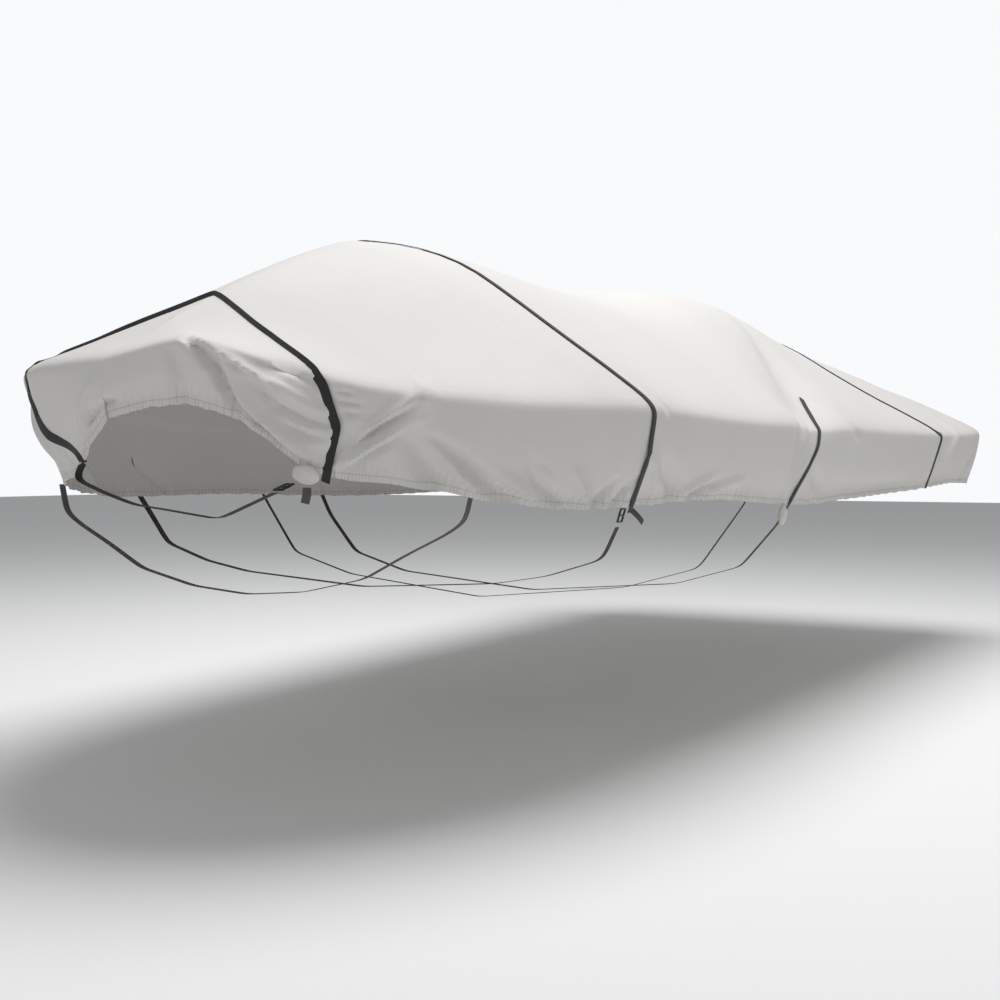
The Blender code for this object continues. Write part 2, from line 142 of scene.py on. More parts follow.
def slice_plane(turn):
    """Start on the centreline and angle from the bow of the slice at a turn of 0 to 3."""
    if turn < 1.0:
        return BOW_FAN[0] + (BOW_FAN[1] - BOW_FAN[0]) * turn, math.pi * (1 - turn / 2)
    if turn < 2.0:
        return BOW_FAN[1] + (STERN_FAN[0] - BOW_FAN[1]) * (turn - 1), math.pi / 2
    return (STERN_FAN[0] + (STERN_FAN[1] - STERN_FAN[0]) * (turn - 2),
            math.pi / 2 * (3 - turn))


def cast(tree, start, heading, lift):
    """Outer face of the shell on a ray from a slice's start, or None."""
    toward = Vector((heading.x * math.cos(lift), heading.y * math.cos(lift), math.sin(lift)))
    reach = 4.0
    return tree.ray_cast(start + toward * reach, -toward, reach)[0]


def cut_slice(tree, turn, side):
    """Points of the shell's outer face in one slice, from its hem to the middle."""
    base, angle = slice_plane(turn)
    start = Vector((base, 0.0, SLICE_HEIGHT))
    heading = Vector((math.cos(angle), side * math.sin(angle), 0.0))
    low, high = math.radians(-25), math.radians(45)
    for _ in range(22):
        middle = (low + high) / 2
        if cast(tree, start, heading, middle):
            high = middle
        else:
            low = middle
    points = []
    for step in range(SLICE_RAYS + 1):
        lift = high + (math.pi / 2 - high) * (step / SLICE_RAYS) ** 1.6
        hit = cast(tree, start, heading, min(lift, math.pi / 2 - 1e-5))
        if hit:
            points.append(hit)
    return np.array([tuple(p) for p in points]), heading


def along_line(points, distances):
    """Points at given distances along a polyline."""
    steps = np.linalg.norm(np.diff(points, axis=0), axis=1)
    walked = np.concatenate([[0.0], np.cumsum(steps)])
    return np.stack([np.interp(distances, walked, points[:, axis]) for axis in range(3)], 1)


def smooth_rows(grid, axis, radius):
    """Average a grid along one axis over a bell of the given radius, its ends kept."""
    reach = int(radius * 2.5)
    weights = np.exp(-(np.arange(-reach, reach + 1) / radius) ** 2)
    weights /= weights.sum()
    grid = np.moveaxis(grid, axis, 0)
    before = 2 * grid[:1] - grid[reach:0:-1]
    after = 2 * grid[-1:] - grid[-2:-reach - 2:-1]
    padded = np.concatenate([before, grid, after])
    result = sum(weight * padded[place:place + len(grid)]
                 for place, weight in enumerate(weights))
    return np.moveaxis(result, 0, axis)


def cad_tree(name):
    """Ray tree of a CAD node's merged copy."""
    shape = bmesh.new()
    shape.from_mesh(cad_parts[name].data)
    bmesh.ops.remove_doubles(shape, verts=shape.verts, dist=1e-5)
    tree = BVHTree.FromBMesh(shape)
    shape.free()
    return tree


def gunwale_of(points, heading):
    """Distance from the hem at which a slice turns over the gunwale."""
    outward = points @ np.array([heading.x * 0.85, heading.y * 0.85, 0.52])
    corner = int(np.argmax(outward))
    return np.linalg.norm(np.diff(points[:corner + 1], axis=0), axis=1).sum()


shell = cad_tree("cover")
scan_turns = np.concatenate([np.linspace(0, 1, 60), np.linspace(1, 2, 60)[1:],
                             np.linspace(2, 3, 60)[1:]])
scan_rail = []
for turn in scan_turns:
    points, heading = cut_slice(shell, turn, 1)
    scan_rail.append(along_line(points, [gunwale_of(points, heading)])[0][:2])
scan_steps = np.linalg.norm(np.diff(np.array(scan_rail), axis=0), axis=1)
scan_walked = np.concatenate([[0.0], np.cumsum(scan_steps)])
weights = np.where(scan_walked[:-1] < 2.2, 2.2, 1.0)
scan_weighed = np.concatenate([[0.0], np.cumsum(scan_steps * weights)])
turns = np.interp(np.linspace(0, scan_weighed[-1], COLUMNS + 1), scan_weighed, scan_turns)
rail_distance = np.interp(turns, scan_turns, scan_walked)

halves = {}
for side in (-1, 1):
    slices = [cut_slice(shell, turn, side) for turn in turns]
    rail = smooth_rows(np.array([gunwale_of(*cut) for cut in slices]), 0, 7.0)
    grid = np.zeros((COLUMNS + 1, SIDE_ROWS + ROOF_ROWS + 1, 3))
    for column, (points, heading) in enumerate(slices):
        total = np.linalg.norm(np.diff(points, axis=0), axis=1).sum()
        low = np.linspace(0, 1, SIDE_ROWS + 1) * rail[column]
        roof = rail[column] + (total - rail[column]) * np.linspace(0, 1, ROOF_ROWS + 1) ** 1.25
        grid[column] = along_line(points, np.concatenate([low, roof[1:]]))
    grid = smooth_rows(grid, 0, 6.0)
    grid[:, 1:-1] = smooth_rows(grid, 1, 1.6)[:, 1:-1]
    halves[side] = grid

level_of_row = np.concatenate([np.linspace(0, 1, SIDE_ROWS + 1),
                               1 + np.linspace(0, 1, ROOF_ROWS + 1)[1:] ** 1.25])

# Folds as the cloth hangs: side, width and depth in metres (a gully is negative), edge (how
# much sharper one flank is than the other), and the line the fold runs along. On that line
# each point is metres from the bow tip along the gunwale, and a level: 0 at the hem, 1 at the
# gunwale and 2 in the middle.
FOLDS = (
    # fan from the bow's shoulder to the low corner of the hem
    (-1, 0.024, -0.037, 0.5, ((0.23, 1.05), (0.27, 0.80), (0.31, 0.56), (0.34, 0.28), (0.37, 0.0))),
    (-1, 0.016, 0.022, 0.3, ((0.22, 1.12), (0.30, 0.88), (0.38, 0.80), (0.42, 0.73), (0.57, 0.64))),
    (-1, 0.024, 0.037, 0.2, ((0.33, 0.64), (0.38, 0.38), (0.43, 0.27), (0.48, 0.21), (0.56, 0.12))),
    (-1, 0.018, -0.026, 0.2, ((0.40, 0.66), (0.46, 0.46), (0.52, 0.50), (0.60, 0.56))),
    (-1, 0.020, -0.022, 0.0, ((0.43, 0.92), (0.50, 0.98), (0.56, 0.92))),
    (-1, 0.012, -0.017, 0.3, ((0.48, 0.34), (0.52, 0.32), (0.58, 0.38))),
    (-1, 0.014, -0.022, 0.3, ((0.36, 0.20), (0.42, 0.12), (0.49, 0.08))),
    (-1, 0.018, -0.019, 0.2, ((0.19, 0.95), (0.21, 0.45), (0.21, 0.10))),
    (-1, 0.009, -0.009, 0.0, ((0.34, 0.80), (0.38, 0.72))),
    (-1, 0.010, 0.011, 0.0, ((0.45, 0.78), (0.55, 0.74))),
    # pulled from the gunwale's corner down to the strap
    (-1, 0.020, 0.030, 0.4, ((0.83, 1.02), (0.76, 0.82), (0.70, 0.62), (0.64, 0.30), (0.61, 0.16))),
    (-1, 0.016, -0.033, -0.4, ((0.81, 0.90), (0.74, 0.66), (0.66, 0.38), (0.62, 0.20))),
    (-1, 0.016, 0.022, 0.3, ((0.81, 0.74), (0.73, 0.48), (0.65, 0.24))),
    (-1, 0.014, -0.019, -0.3, ((0.79, 0.60), (0.72, 0.36), (0.65, 0.14))),
    (-1, 0.008, -0.011, 0.0, ((0.61, 0.90), (0.66, 0.89))),
    (-1, 0.008, -0.011, 0.0, ((0.61, 0.80), (0.67, 0.81))),
    (-1, 0.008, -0.009, 0.0, ((0.62, 0.68), (0.67, 0.71))),
    # side between the two straps
    (-1, 0.045, -0.037, 0.2, ((0.80, 0.55), (0.83, 0.34), (0.90, 0.06))),
    (-1, 0.018, 0.026, 0.2, ((0.84, 0.52), (0.89, 0.36), (0.96, 0.16), (1.01, 0.05))),
    (-1, 0.022, -0.026, -0.3, ((0.86, 0.56), (0.96, 0.32), (1.05, 0.14), (1.14, 0.03))),
    (-1, 0.014, 0.019, 0.2, ((1.06, 0.26), (1.12, 0.16), (1.18, 0.07))),
    (-1, 0.024, -0.022, 0.3, ((1.14, 0.40), (1.18, 0.26), (1.26, 0.10))),
    (-1, 0.013, 0.015, 0.0, ((1.16, 0.38), (1.25, 0.22))),
    (-1, 0.014, 0.020, 0.2, ((1.31, 0.36), (1.36, 0.18), (1.41, 0.02))),
    (-1, 0.014, -0.020, 0.2, ((1.48, 0.28), (1.45, 0.14), (1.42, 0.02))),
    (-1, 0.012, -0.017, 0.0, ((1.58, 0.26), (1.54, 0.13), (1.51, 0.02))),
    # by the forward strap's end, and on to the pleats
    (-1, 0.018, 0.022, 0.3, ((1.61, 0.50), (1.66, 0.42), (1.69, 0.28), (1.76, 0.12))),
    (-1, 0.034, -0.030, 0.0, ((1.68, 0.44), (1.76, 0.28), (1.84, 0.12))),
    (-1, 0.012, -0.009, 0.0, ((1.67, 1.08), (1.69, 0.92))),
    (-1, 0.014, 0.015, 0.2, ((1.86, 0.08), (1.94, 0.20), (2.03, 0.30))),
    (-1, 0.014, -0.015, 0.2, ((1.92, 0.04), (2.00, 0.15), (2.08, 0.24))),
    (-1, 0.014, 0.013, 0.2, ((2.06, 0.10), (2.14, 0.20), (2.24, 0.26))),
    # pleats before the middle strap
    (-1, 0.034, -0.033, 0.5, ((3.46, 1.50), (3.25, 1.31), (3.00, 1.13), (2.84, 1.03))),
    (-1, 0.026, -0.017, 0.0, ((2.84, 1.03), (2.79, 0.77), (2.74, 0.50), (2.75, 0.22))),
    (-1, 0.022, -0.015, 0.3, ((2.93, 1.14), (2.73, 1.03), (2.67, 0.85), (2.64, 0.50), (2.64, 0.18))),
    (-1, 0.018, 0.011, 0.0, ((2.78, 1.02), (2.72, 0.75), (2.69, 0.45), (2.69, 0.18))),
    (-1, 0.022, -0.015, 0.2, ((3.30, 0.98), (3.39, 0.84))),
    (-1, 0.030, -0.017, 0.0, ((2.86, 0.50), (2.94, 0.34), (3.05, 0.22))),
    (-1, 0.040, -0.013, 0.0, ((3.10, 0.20), (3.70, 0.16), (4.30, 0.14))),
    # aft of the aft strap
    (-1, 0.034, -0.022, 0.3, ((4.74, 0.96), (4.72, 0.50), (4.66, 0.18))),
    (-1, 0.030, 0.020, 0.0, ((5.03, 1.02), (4.86, 0.70), (4.72, 0.42))),
    (-1, 0.034, -0.019, 0.0, ((5.46, 0.85), (5.40, 0.50), (5.30, 0.20))),
    # bow's starboard flap
    (1, 0.015, -0.026, 0.4, ((0.08, 0.60), (0.12, 0.40), (0.18, 0.16))),
    (1, 0.015, 0.022, 0.2, ((0.05, 0.66), (0.09, 0.38), (0.14, 0.08))),
    (-1, 0.016, -0.017, 0.0, ((0.00, 0.30), (0.03, 0.22))),
    (1, 0.014, -0.019, 0.2, ((0.01, 0.28), (0.08, 0.24), (0.12, 0.20))),
    (1, 0.026, -0.026, 0.2, ((0.68, 0.52), (0.60, 0.34), (0.50, 0.14))),
    (1, 0.020, 0.019, 0.0, ((0.60, 0.58), (0.50, 0.40), (0.40, 0.22))),
    # starboard side, much like port
    (1, 0.024, -0.030, 0.2, ((0.86, 1.00), (0.74, 0.60), (0.64, 0.15))),
    (1, 0.022, 0.024, 0.2, ((0.92, 0.92), (0.84, 0.55), (0.76, 0.20))),
    (1, 0.030, -0.026, 0.0, ((1.10, 0.50), (1.22, 0.28), (1.30, 0.05))),
    (1, 0.020, 0.019, 0.0, ((1.62, 0.46), (1.70, 0.28), (1.76, 0.08))),
    (1, 0.034, -0.030, 0.4, ((3.40, 1.46), (3.22, 1.28), (3.00, 1.12), (2.86, 1.02))),
    (1, 0.026, -0.017, 0.0, ((2.86, 1.02), (2.80, 0.70), (2.76, 0.24))),
    (1, 0.034, -0.020, 0.2, ((4.80, 0.95), (4.74, 0.50), (4.68, 0.15))),
)


def fold_depth(side, distance, level, span):
    """Metres by which the folds move the cloth out, for grids of distance and level."""
    across = np.zeros_like(distance)
    for fold_side, width, depth, edge, line in FOLDS:
        if fold_side != side:
            continue
        line = np.array(line)
        runs = np.hypot(np.diff(line[:, 0]), np.diff(line[:, 1]) * span)
        walked = np.concatenate([[0.0], np.cumsum(runs)]) / runs.sum()
        nearest = np.full(distance.shape, 9.0)
        along = np.zeros_like(distance)
        turn = np.ones_like(distance)
        for number, length in enumerate(runs):
            run_d = line[number + 1, 0] - line[number, 0]
            run_l = (line[number + 1, 1] - line[number, 1]) * span
            here_d = distance - line[number, 0]
            here_l = (level - line[number, 1]) * span
            share = np.clip((here_d * run_d + here_l * run_l) / length ** 2, 0, 1)
            aside_d, aside_l = here_d - share * run_d, here_l - share * run_l
            aside = np.hypot(aside_d, aside_l)
            closer = aside < nearest
            nearest = np.where(closer, aside, nearest)
            reach = walked[number] + share * (walked[number + 1] - walked[number])
            along = np.where(closer, reach, along)
            turn = np.where(closer, np.sign(aside_d * run_l - aside_l * run_d), turn)
        flank = width * (1 - edge * turn)
        fade = np.sin(math.pi * (0.08 + 0.84 * along)) ** 0.7
        across += depth * fade * np.exp(-(nearest / flank) ** 2)
    return across


def hem_gathers(side, distance, level):
    """Puckers that the hem's elastic draws up, strongest at the hem."""
    phase = distance * 128 + 3.1 * np.sin(distance * 9.3 + side) + 1.9 * np.sin(distance * 23.1)
    broad = distance * 47 + 2.4 * np.sin(distance * 5.3 + side)
    swell = 0.5 + 0.5 * np.sin(distance * 4.1 + 1.9 + side)
    near = np.exp(-(level / (0.11 + 0.07 * np.sin(broad * 0.7))) ** 2)
    wide = np.exp(-(level / 0.26) ** 2)
    return 0.0030 * np.sin(phase) * swell * near + 0.0032 * np.sin(broad) * wide


def soft_noise(points, scale, seed):
    """Smooth noise at each point of a grid."""
    flat = points.reshape(-1, 3) * scale + seed
    values = [noise.noise(Vector(p)) for p in flat]
    return np.array(values).reshape(points.shape[:-1])


def grid_normals(grid, side):
    """Outward unit normals of a half grid."""
    along = np.gradient(grid, axis=0)
    up = np.gradient(grid, axis=1)
    normal = np.cross(along, up) * side
    size = np.linalg.norm(normal, axis=2, keepdims=True)
    normal = normal / np.maximum(size, 1e-9)
    return normal


cover_vertices = []
cover_faces = []
cover_uv = []
rows = SIDE_ROWS + ROOF_ROWS + 1
for side in (-1, 1):
    grid = halves[side]
    distance = np.repeat(rail_distance[:, None], rows, axis=1)
    level = np.repeat(level_of_row[None, :], COLUMNS + 1, axis=0)
    normal = grid_normals(grid, side)
    flip = np.sign((normal * (grid - np.array([0.0, 0.0, -1.2]))).sum(axis=2, keepdims=True))
    normal = normal * flip
    push = fold_depth(side, distance, level, 0.28) + hem_gathers(side, distance, level)
    sag = 0.0035 * soft_noise(grid, 2.6, 11.0) + 0.0016 * soft_noise(grid, 7.5, 4.0)
    push = push + sag * np.clip((2.0 - level) * 6, 0, 1)
    steps = np.linalg.norm(np.diff(grid, axis=1), axis=2)
    height = np.concatenate([np.zeros((COLUMNS + 1, 1)), np.cumsum(steps, axis=1)], axis=1)
    push = push + 0.0028 * np.exp(-(height / HEM_WIDTH) ** 8)
    push[:, -1] = 0.0
    moved = grid + normal * push[..., None]
    moved[0, :, 1] = 0.0
    moved[-1, :, 1] = 0.0
    moved[:, -1, 1] = 0.0
    halves[side] = moved
    base = len(cover_vertices)
    cover_vertices.extend(map(tuple, moved.reshape(-1, 3)))
    cover_uv.extend(zip((distance * side).ravel(), height.ravel()))
    for column in range(COLUMNS):
        for row in range(rows - 1):
            corner = base + column * rows + row
            face = (corner, corner + rows, corner + rows + 1, corner + 1)
            cover_faces.append(face if side < 0 else face[::-1])


def new_sheet(name, vertices, faces, uv):
    """A linked mesh object whose UV, in metres, is given for each vertex."""
    mesh = bpy.data.meshes.new(name)
    mesh.from_pydata(vertices, [], faces)
    corners = np.empty(len(mesh.loops), dtype=np.int32)
    mesh.loops.foreach_get("vertex_index", corners)
    mesh.uv_layers.new(name="cloth").data.foreach_set("uv", np.array(uv)[corners].ravel())
    sheet = bpy.data.objects.new(name, mesh)
    bpy.context.scene.collection.objects.link(sheet)
    return sheet


def finish_sheet(sheet, thickness, offset=-1.0):
    """Merge a sheet's seams, give it its thickness and shade it smooth."""
    bpy.ops.object.select_all(action="DESELECT")
    sheet.select_set(True)
    bpy.context.view_layer.objects.active = sheet
    bpy.ops.object.mode_set(mode="EDIT")
    bpy.ops.mesh.select_all(action="SELECT")
    bpy.ops.mesh.remove_doubles(threshold=0.0003)
    bpy.ops.object.mode_set(mode="OBJECT")
    solid = sheet.modifiers.new("thickness", "SOLIDIFY")
    solid.thickness = thickness
    solid.offset = offset
    bpy.ops.object.modifier_apply(modifier=solid.name)
    bpy.ops.object.shade_smooth_by_angle(angle=math.radians(50))
    sheet.select_set(False)


cover = new_sheet("cover_cloth", cover_vertices, cover_faces, cover_uv)
finish_sheet(cover, CLOTH)

# Polyester, woven and coated: matt, with a faint sheen along the folds. Its threads are 0.45 mm
# apart, drawn at 2.4 mm so that they show at all.
polyester, tree, shader = new_material("coated woven polyester")
place = add_node(tree, "ShaderNodeTexCoord")
weave_uv = add_node(tree, "ShaderNodeUVMap", uv_map="cloth")
warp = add_node(tree, "ShaderNodeTexWave", [("Vector", weave_uv.outputs[0]), ("Scale", 130.0)],
                bands_direction="X")
weft = add_node(tree, "ShaderNodeTexWave", [("Vector", weave_uv.outputs[0]), ("Scale", 130.0)],
                bands_direction="Y")
weave = add_node(tree, "ShaderNodeMath", [(0, warp.outputs["Fac"]), (1, weft.outputs["Fac"])],
                 operation="MULTIPLY")
crinkle = add_node(tree, "ShaderNodeTexNoise", [("Vector", place.outputs["Object"]),
                                                ("Scale", 34.0), ("Detail", 5.0),
                                                ("Roughness", 0.6)])
weave_bump = add_node(tree, "ShaderNodeBump", [("Height", weave.outputs[0]), ("Strength", 0.10),
                                               ("Distance", 0.0003)])
# The elastic draws up puckers 18 mm apart that die out 70 mm above the hem, and a fine dark
# line of painted shade marks the crease where the hem's stitching holds the turned cloth down.
above_hem = add_node(tree, "ShaderNodeSeparateXYZ", [("Vector", weave_uv.outputs[0])])
fading = add_node(tree, "ShaderNodeMapRange", [("Value", above_hem.outputs["Y"]),
                                               ("From Max", 0.07), ("To Min", 1.0),
                                               ("To Max", 0.0)],
                  interpolation_type="SMOOTHSTEP")
puckers = add_node(tree, "ShaderNodeTexWave", [("Vector", weave_uv.outputs[0]), ("Scale", 17.0),
                                               ("Distortion", 5.0), ("Detail", 1.0),
                                               ("Detail Scale", 0.35)], bands_direction="X")
drawn = add_node(tree, "ShaderNodeMath", [(0, puckers.outputs["Fac"]),
                                          (1, fading.outputs["Result"])], operation="MULTIPLY")
pucker_bump = add_node(tree, "ShaderNodeBump", [("Height", drawn.outputs[0]), ("Strength", 0.8),
                                                ("Distance", 0.006),
                                                ("Normal", weave_bump.outputs[0])])
from_stitch = add_node(tree, "ShaderNodeMath", [(0, above_hem.outputs["Y"]), (1, HEM_WIDTH)],
                       operation="SUBTRACT")
off_stitch = add_node(tree, "ShaderNodeMath", [(0, from_stitch.outputs[0])],
                      operation="ABSOLUTE")
# Painted shade: a quarter darker on the stitch line, fading out 2.2 mm to either side of it.
painted_stitch_shade = add_node(tree, "ShaderNodeMapRange", [("Value", off_stitch.outputs[0]),
                                               ("From Max", 0.0022), ("To Min", 0.75),
                                               ("To Max", 1.0)])
cloth_bump = add_node(tree, "ShaderNodeBump", [("Height", crinkle.outputs["Fac"]),
                                               ("Strength", 0.35), ("Distance", 0.004),
                                               ("Normal", pucker_bump.outputs[0])])
tone = add_node(tree, "ShaderNodeTexNoise", [("Vector", place.outputs["Object"]),
                                             ("Scale", 2.2), ("Detail", 3.0)])
tint = add_node(tree, "ShaderNodeMix", [("Factor", tone.outputs["Fac"]),
                                        ("A", hex_colour("#D9D6D2")),
                                        ("B", hex_colour("#E0DEDB"))], data_type="RGBA")
# The stitch line's painted shade is multiplied into the cloth's tint.
stitch_shaded_tint = add_node(tree, "ShaderNodeMix", [("Factor", 1.0), ("A", tint.outputs["Result"]),
                                            ("B", painted_stitch_shade.outputs["Result"])],
                    data_type="RGBA", blend_type="MULTIPLY")
tree.links.new(stitch_shaded_tint.outputs["Result"], shader.inputs["Base Color"])
tree.links.new(cloth_bump.outputs[0], shader.inputs["Normal"])
shader.inputs["Roughness"].default_value = 0.72
shader.inputs["Sheen Weight"].default_value = 0.12
cover.data.materials.append(polyester)
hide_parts("cover")
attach(cover, "root")

# ---------------------------------------------------------------------------------------------
# Straps. Black polypropylene webbing, 25 mm wide. Two go over the cover and back under the boat
# to a buckle by the port hem, one is sewn in a pleat each side and passes under the boat, and
# the aft one ends at the hem. Each lies on the cloth and bridges its folds.

WEBBING_WIDTH = 0.025
WEBBING = 0.0014


def on_cloth(side, line, spacing=0.010):
    """Even points on the cover along a line of distances and levels."""
    line = np.array(line, float)
    walked = np.concatenate([[0.0], np.cumsum(np.linalg.norm(np.diff(line, axis=0), axis=1))])
    fine = np.linspace(0, walked[-1], 400)
    distances = np.interp(fine, walked, line[:, 0])
    levels = np.interp(fine, walked, line[:, 1])
    column = np.interp(distances, rail_distance, np.arange(len(rail_distance)))
    row = np.interp(levels, level_of_row, np.arange(len(level_of_row)))
    grid = halves[side]
    left = np.minimum(column.astype(int), grid.shape[0] - 2)
    low = np.minimum(row.astype(int), grid.shape[1] - 2)
    ahead, above = (column - left)[:, None], (row - low)[:, None]
    points = ((1 - ahead) * (1 - above) * grid[left, low]
              + ahead * (1 - above) * grid[left + 1, low]
              + (1 - ahead) * above * grid[left, low + 1]
              + ahead * above * grid[left + 1, low + 1])
    total = np.linalg.norm(np.diff(points, axis=0), axis=1).sum()
    return along_line(points, np.linspace(0, total, max(int(total / spacing), 4)))


def pulled_tight(points, rounds=8):
    """Webbing laid on points: it bridges the hollows and lies on the ridges."""
    centre = np.array([points[:, 0].mean(), 0.0, -0.8])
    for _ in range(rounds):
        bridged = (points[:-2] + points[2:]) / 2
        higher = ((bridged - points[1:-1]) * (points[1:-1] - centre)).sum(axis=1) > 0
        points[1:-1][higher] = bridged[higher]
    points[1:-1] = (points[:-2] + 2 * points[1:-1] + points[2:]) / 4
    return points


def webbing_strip(name, points, across, width, thickness, lift=0.0):
    """Webbing along points, as wide as across says, standing off by lift."""
    points = np.array(points)
    across = np.array(across)
    tangent = np.gradient(points, axis=0)
    tangent /= np.linalg.norm(tangent, axis=1, keepdims=True)
    across = across - tangent * (across * tangent).sum(axis=1, keepdims=True)
    across /= np.linalg.norm(across, axis=1, keepdims=True)
    outward = np.cross(across, tangent)
    walked = np.concatenate([[0.0], np.cumsum(np.linalg.norm(np.diff(points, axis=0), axis=1))])
    profile = ((-0.5, -0.0004), (-0.42, 0.0), (0.0, 0.0002), (0.42, 0.0), (0.5, -0.0004))
    vertices, uv, faces = [], [], []
    for point, wide, out, far in zip(points, across, outward, walked):
        for aside, raise_by in profile:
            vertices.append(tuple(point + wide * width * aside
                                  + out * (lift + thickness + raise_by)))
            uv.append((aside * width, far))
    count = len(profile)
    for step in range(len(points) - 1):
        for place in range(count - 1):
            corner = step * count + place
            faces.append((corner, corner + 1, corner + count + 1, corner + count))
    strip = new_sheet(name, vertices, faces, uv)
    finish_sheet(strip, thickness)
    return strip


def webbing_material(name, dark, light, rough):
    """Woven webbing: ribs along its length, 2 mm apart, crossed by the weft every 2.6 mm."""
    material, tree, shader = new_material(name)
    uv = add_node(tree, "ShaderNodeUVMap", uv_map="cloth")
    ribs = add_node(tree, "ShaderNodeTexWave", [("Vector", uv.outputs[0]), ("Scale", 157.0)],
                    bands_direction="X")
    weft = add_node(tree, "ShaderNodeTexWave", [("Vector", uv.outputs[0]), ("Scale", 121.0)],
                    bands_direction="Y")
    relief = add_node(tree, "ShaderNodeMath", [(0, ribs.outputs["Fac"]),
                                               (1, weft.outputs["Fac"])], operation="ADD")
    bump = add_node(tree, "ShaderNodeBump", [("Height", relief.outputs[0]), ("Strength", 0.5),
                                             ("Distance", 0.0004)])
    mix = add_node(tree, "ShaderNodeMix", [("Factor", ribs.outputs["Fac"]),
                                           ("A", hex_colour(dark)), ("B", hex_colour(light))],
                   data_type="RGBA")
    tree.links.new(mix.outputs["Result"], shader.inputs["Base Color"])
    tree.links.new(bump.outputs[0], shader.inputs["Normal"])
    shader.inputs["Roughness"].default_value = rough
    shader.inputs["Sheen Weight"].default_value = 0.1
    return material


black_webbing = webbing_material("black polypropylene webbing", "#171615", "#262423", 0.62)
grey_webbing = webbing_material("grey polypropylene webbing", "#4A4744", "#5E5A56", 0.66)

# Each strap's line over the cover, port then starboard, hem to middle, in the folds' distances
# and levels; then its run under the boat as station, and distance from the middle and height
# over the ground, from starboard to port.
STRAPS = {
    "bow_strap": (
        ((0.598, 0.0), (0.600, 0.23), (0.612, 0.54), (0.598, 0.69), (0.575, 0.94), (0.557, 1.03),
         (0.459, 1.28), (0.334, 1.54), (0.110, 1.96)),
        ((0.250, 0.0), (0.278, 0.13), (0.459, 0.38), (0.560, 0.60), (0.560, 0.80), (0.475, 0.99),
         (0.520, 1.05), (0.580, 1.16), (0.540, 1.30), (0.380, 1.55), (0.220, 1.80),
         (0.115, 1.97)),
        0.140, ((0.235, 0.900), (0.130, 0.865), (0.020, 0.835), (-0.072, 0.826),
                (-0.263, 0.804), (-0.440, 0.871))),
    "forward_strap": (
        ((1.60, 0.0), (1.60, 1.98)), ((1.60, 0.0), (1.60, 1.98)),
        1.115, ((0.905, 0.745), (0.84, 0.665), (0.66, 0.610), (0.48, 0.580), (0.00, 0.550),
                (-0.48, 0.580), (-0.66, 0.610), (-0.84, 0.665), (-0.886, 0.758))),
    "middle_strap": (
        ((2.753, 0.0), (2.80, 0.40), (2.85, 0.62), (2.92, 0.98), (2.95, 1.02), (3.17, 1.15)),
        ((2.753, 0.0), (2.80, 0.40), (2.85, 0.62), (2.92, 0.98), (2.95, 1.02), (3.17, 1.15)),
        2.240, ((0.985, 0.726), (0.85, 0.572), (0.60, 0.500), (0.00, 0.450), (-0.60, 0.500),
                (-0.85, 0.572), (-0.985, 0.726))),
    "aft_strap": (
        ((4.64, 0.0), (4.62, 0.50), (4.68, 0.95), (4.56, 1.05), (4.33, 1.20), (4.16, 1.38),
         (4.05, 1.98)),
        ((4.64, 0.0), (4.62, 0.50), (4.68, 0.95), (4.56, 1.05), (4.33, 1.20), (4.16, 1.38),
         (4.05, 1.98)),
        4.110, ()),
}


def rounded_route(points, spacing=0.012, rounds=5):
    """Even points along a route whose corners are eased."""
    points = np.array(points, float)
    total = np.linalg.norm(np.diff(points, axis=0), axis=1).sum()
    line = along_line(points, np.linspace(0, total, max(int(total / spacing), 8)))
    for _ in range(rounds):
        line[1:-1] = (line[:-2] + 2 * line[1:-1] + line[2:]) / 4
    return line


for name, (port, starboard, station, under) in STRAPS.items():
    port_side, starboard_side = on_cloth(-1, port), on_cloth(1, starboard)
    low = [(station - MOUNT_STATION, aside, height + GROUND) for aside, height in under]
    if name == "middle_strap":
        up = pulled_tight(port_side)
        down = pulled_tight(starboard_side[::-1])
        route = rounded_route([tuple(down[-1])] + low + [tuple(up[0])])
        points = np.concatenate([down, route[1:-1], up])
    else:
        over = pulled_tight(np.concatenate([port_side, starboard_side[::-1]]))
        points = over
        if under:
            drop = over[0] - over[3]
            start = over[0] + drop / np.linalg.norm(drop) * 0.018
            route = rounded_route([tuple(over[-1])] + low)
            points = np.concatenate([[start], over, route[1:]])
    across = np.cross(np.gradient(points, axis=0), points - np.array([0.0, 0.0, -0.75]))
    across[points[:, 0] > -2.0] = (1.0, 0.0, 0.0)
    if name != "middle_strap" and under:
        across[len(over) + 1:] = (1.0, 0.0, 0.0)
    strap = webbing_strip(name + "_webbing", points, across, WEBBING_WIDTH, WEBBING, 0.0022)
    strap.data.materials.append(black_webbing)
    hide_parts(name)
    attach(strap, "root")

# ---------------------------------------------------------------------------------------------
# Ties. Webbing sewn inside the hem on both sides and drawn tight under the boat: station is
# that of the CAD node, then come distance from the middle and height, hem to keel.

TIES = {
    "grey_tie": (grey_webbing, "grey_webbing", 0.925,
                 ((0.723, 0.790), (0.665, 0.755), (0.541, 0.698), (0.405, 0.629), (0.20, 0.585),
                  (0.00, 0.570))),
    "thin_tie": (black_webbing, "polypropylene_webbing", 0.6,
                 ((0.99, 0.780), (0.85, 0.591), (0.58, 0.515), (0.00, 0.455))),
}
for name, (material, slot, share, half) in TIES.items():
    box_low, box_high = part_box(name)
    x = (box_low.x + box_high.x) / 2
    top = box_high.z - 0.012
    first = (x, box_high.y - 0.010, top)
    route = [first] + [(x, aside, height + GROUND) for aside, height in half]
    route += [(x, -aside, height + GROUND) for aside, height in half[-2::-1]]
    route += [(x, -first[1], top)]
    points = rounded_route(route)
    tie = webbing_strip(name + "_webbing", points, [(1.0, 0.0, 0.0)] * len(points),
                        WEBBING_WIDTH * share, WEBBING)
    tie.data.materials.append(material)
    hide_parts(name)
    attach(tie, "root")

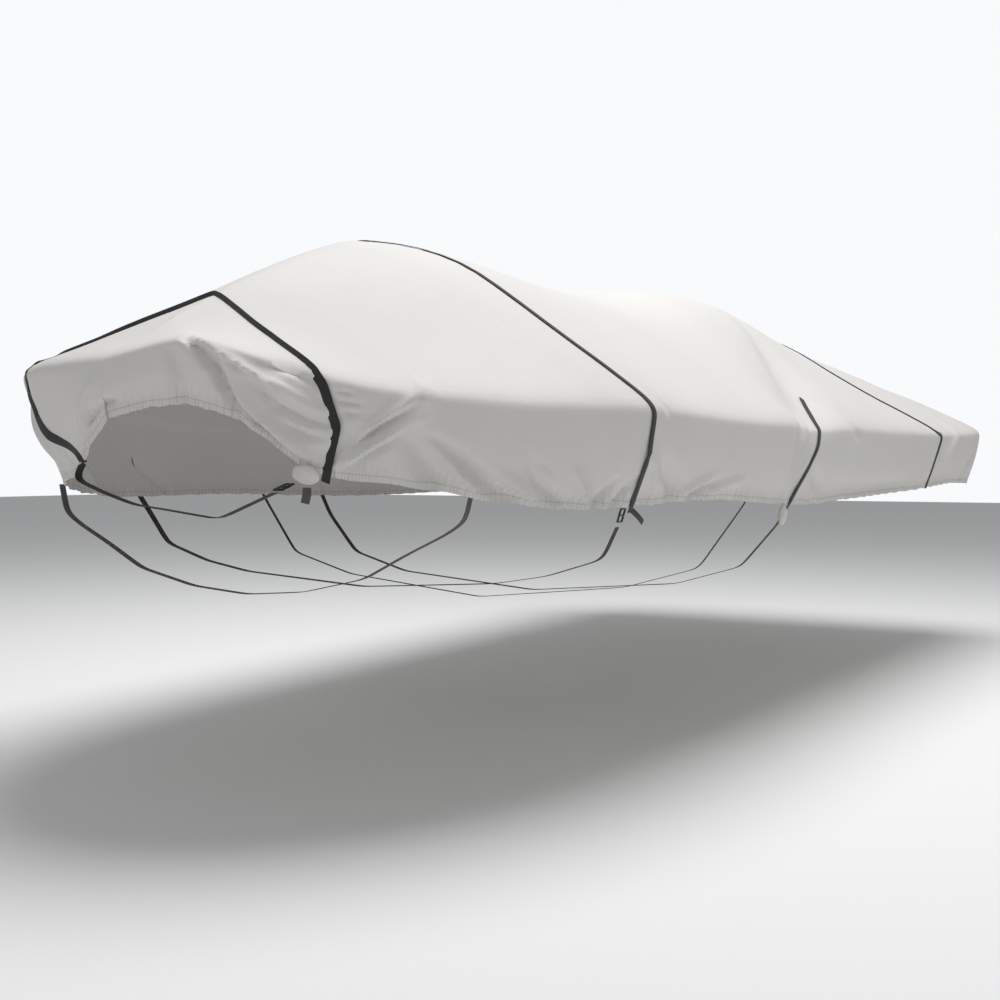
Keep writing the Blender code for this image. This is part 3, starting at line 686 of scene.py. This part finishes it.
# ---------------------------------------------------------------------------------------------
# Loose ends. The grey ends of two straps, left hanging by their buckles: top as station,
# distance to starboard and height, the run to the tip, and the way the webbing is wide.

TAILS = {
    "bow_tail": ((0.185, -0.500, 0.880), (-0.008, 0.000, -0.038), (-0.70, 0.70, 0.00)),
    "forward_tail": ((1.128, -0.928, 0.805), (0.030, -0.020, -0.035), (-0.76, 0.00, -0.65)),
}
for name, ((station, aside, height), run, across) in TAILS.items():
    top = np.array([station - MOUNT_STATION, aside, height + GROUND])
    curl = np.array([0.0, -0.003, 0.0])
    points = rounded_route([top, top + np.array(run) * 0.5 + curl, top + np.array(run)], 0.005, 2)
    tail = webbing_strip(name + "_webbing", points, [across] * len(points),
                         WEBBING_WIDTH * 0.85, WEBBING)
    tail.data.materials.append(grey_webbing)
    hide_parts(name)
    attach(tail, "root")

# ---------------------------------------------------------------------------------------------
# Buckles. Ladder-locks moulded in black acetal: smooth, a little glossy on the edges.

acetal, tree, shader = new_material("moulded black acetal")
place = add_node(tree, "ShaderNodeTexCoord")
grain = add_node(tree, "ShaderNodeTexNoise", [("Vector", place.outputs["Object"]),
                                              ("Scale", 900.0), ("Detail", 2.0)])
bump = add_node(tree, "ShaderNodeBump", [("Height", grain.outputs["Fac"]), ("Strength", 0.2),
                                         ("Distance", 0.0002)])
tree.links.new(bump.outputs[0], shader.inputs["Normal"])
shader.inputs["Base Color"].default_value = hex_colour("#1B1B1D")
shader.inputs["Roughness"].default_value = 0.38
shader.inputs["IOR"].default_value = 1.48
for name in ("bow_buckle", "forward_buckle"):
    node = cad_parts[name]
    node.data.materials.clear()
    node.data.materials.append(acetal)

# ---------------------------------------------------------------------------------------------
# Pouches. Small bags sewn from the cover's own cloth and hung by the port hem, stuffed with
# spare webbing, so they are rounded and a little wrinkled.

for name in ("bow_pouch", "middle_pouch"):
    shape = bmesh.new()
    shape.from_mesh(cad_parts[name].data)
    bmesh.ops.remove_doubles(shape, verts=shape.verts, dist=1e-5)
    mesh = bpy.data.meshes.new(name + "_bag")
    shape.to_mesh(mesh)
    shape.free()
    bag = bpy.data.objects.new(name + "_bag", mesh)
    bpy.context.scene.collection.objects.link(bag)
    bpy.ops.object.select_all(action="DESELECT")
    bag.select_set(True)
    bpy.context.view_layer.objects.active = bag
    smooth = bag.modifiers.new("smooth", "SUBSURF")
    smooth.levels = 3
    smooth.render_levels = 3
    bpy.ops.object.modifier_apply(modifier=smooth.name)
    places = [(vertex.co.copy(), vertex.normal.copy()) for vertex in mesh.vertices]
    for vertex, (place, normal) in zip(mesh.vertices, places):
        wrinkle = noise.noise(place * 70) * 0.0016 + noise.noise(place * 160) * 0.0006
        vertex.co = place + normal * wrinkle
    bpy.ops.object.shade_smooth()
    bag.select_set(False)
    mesh.materials.clear()
    mesh.materials.append(polyester)
    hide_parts(name)
    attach(bag, "root")
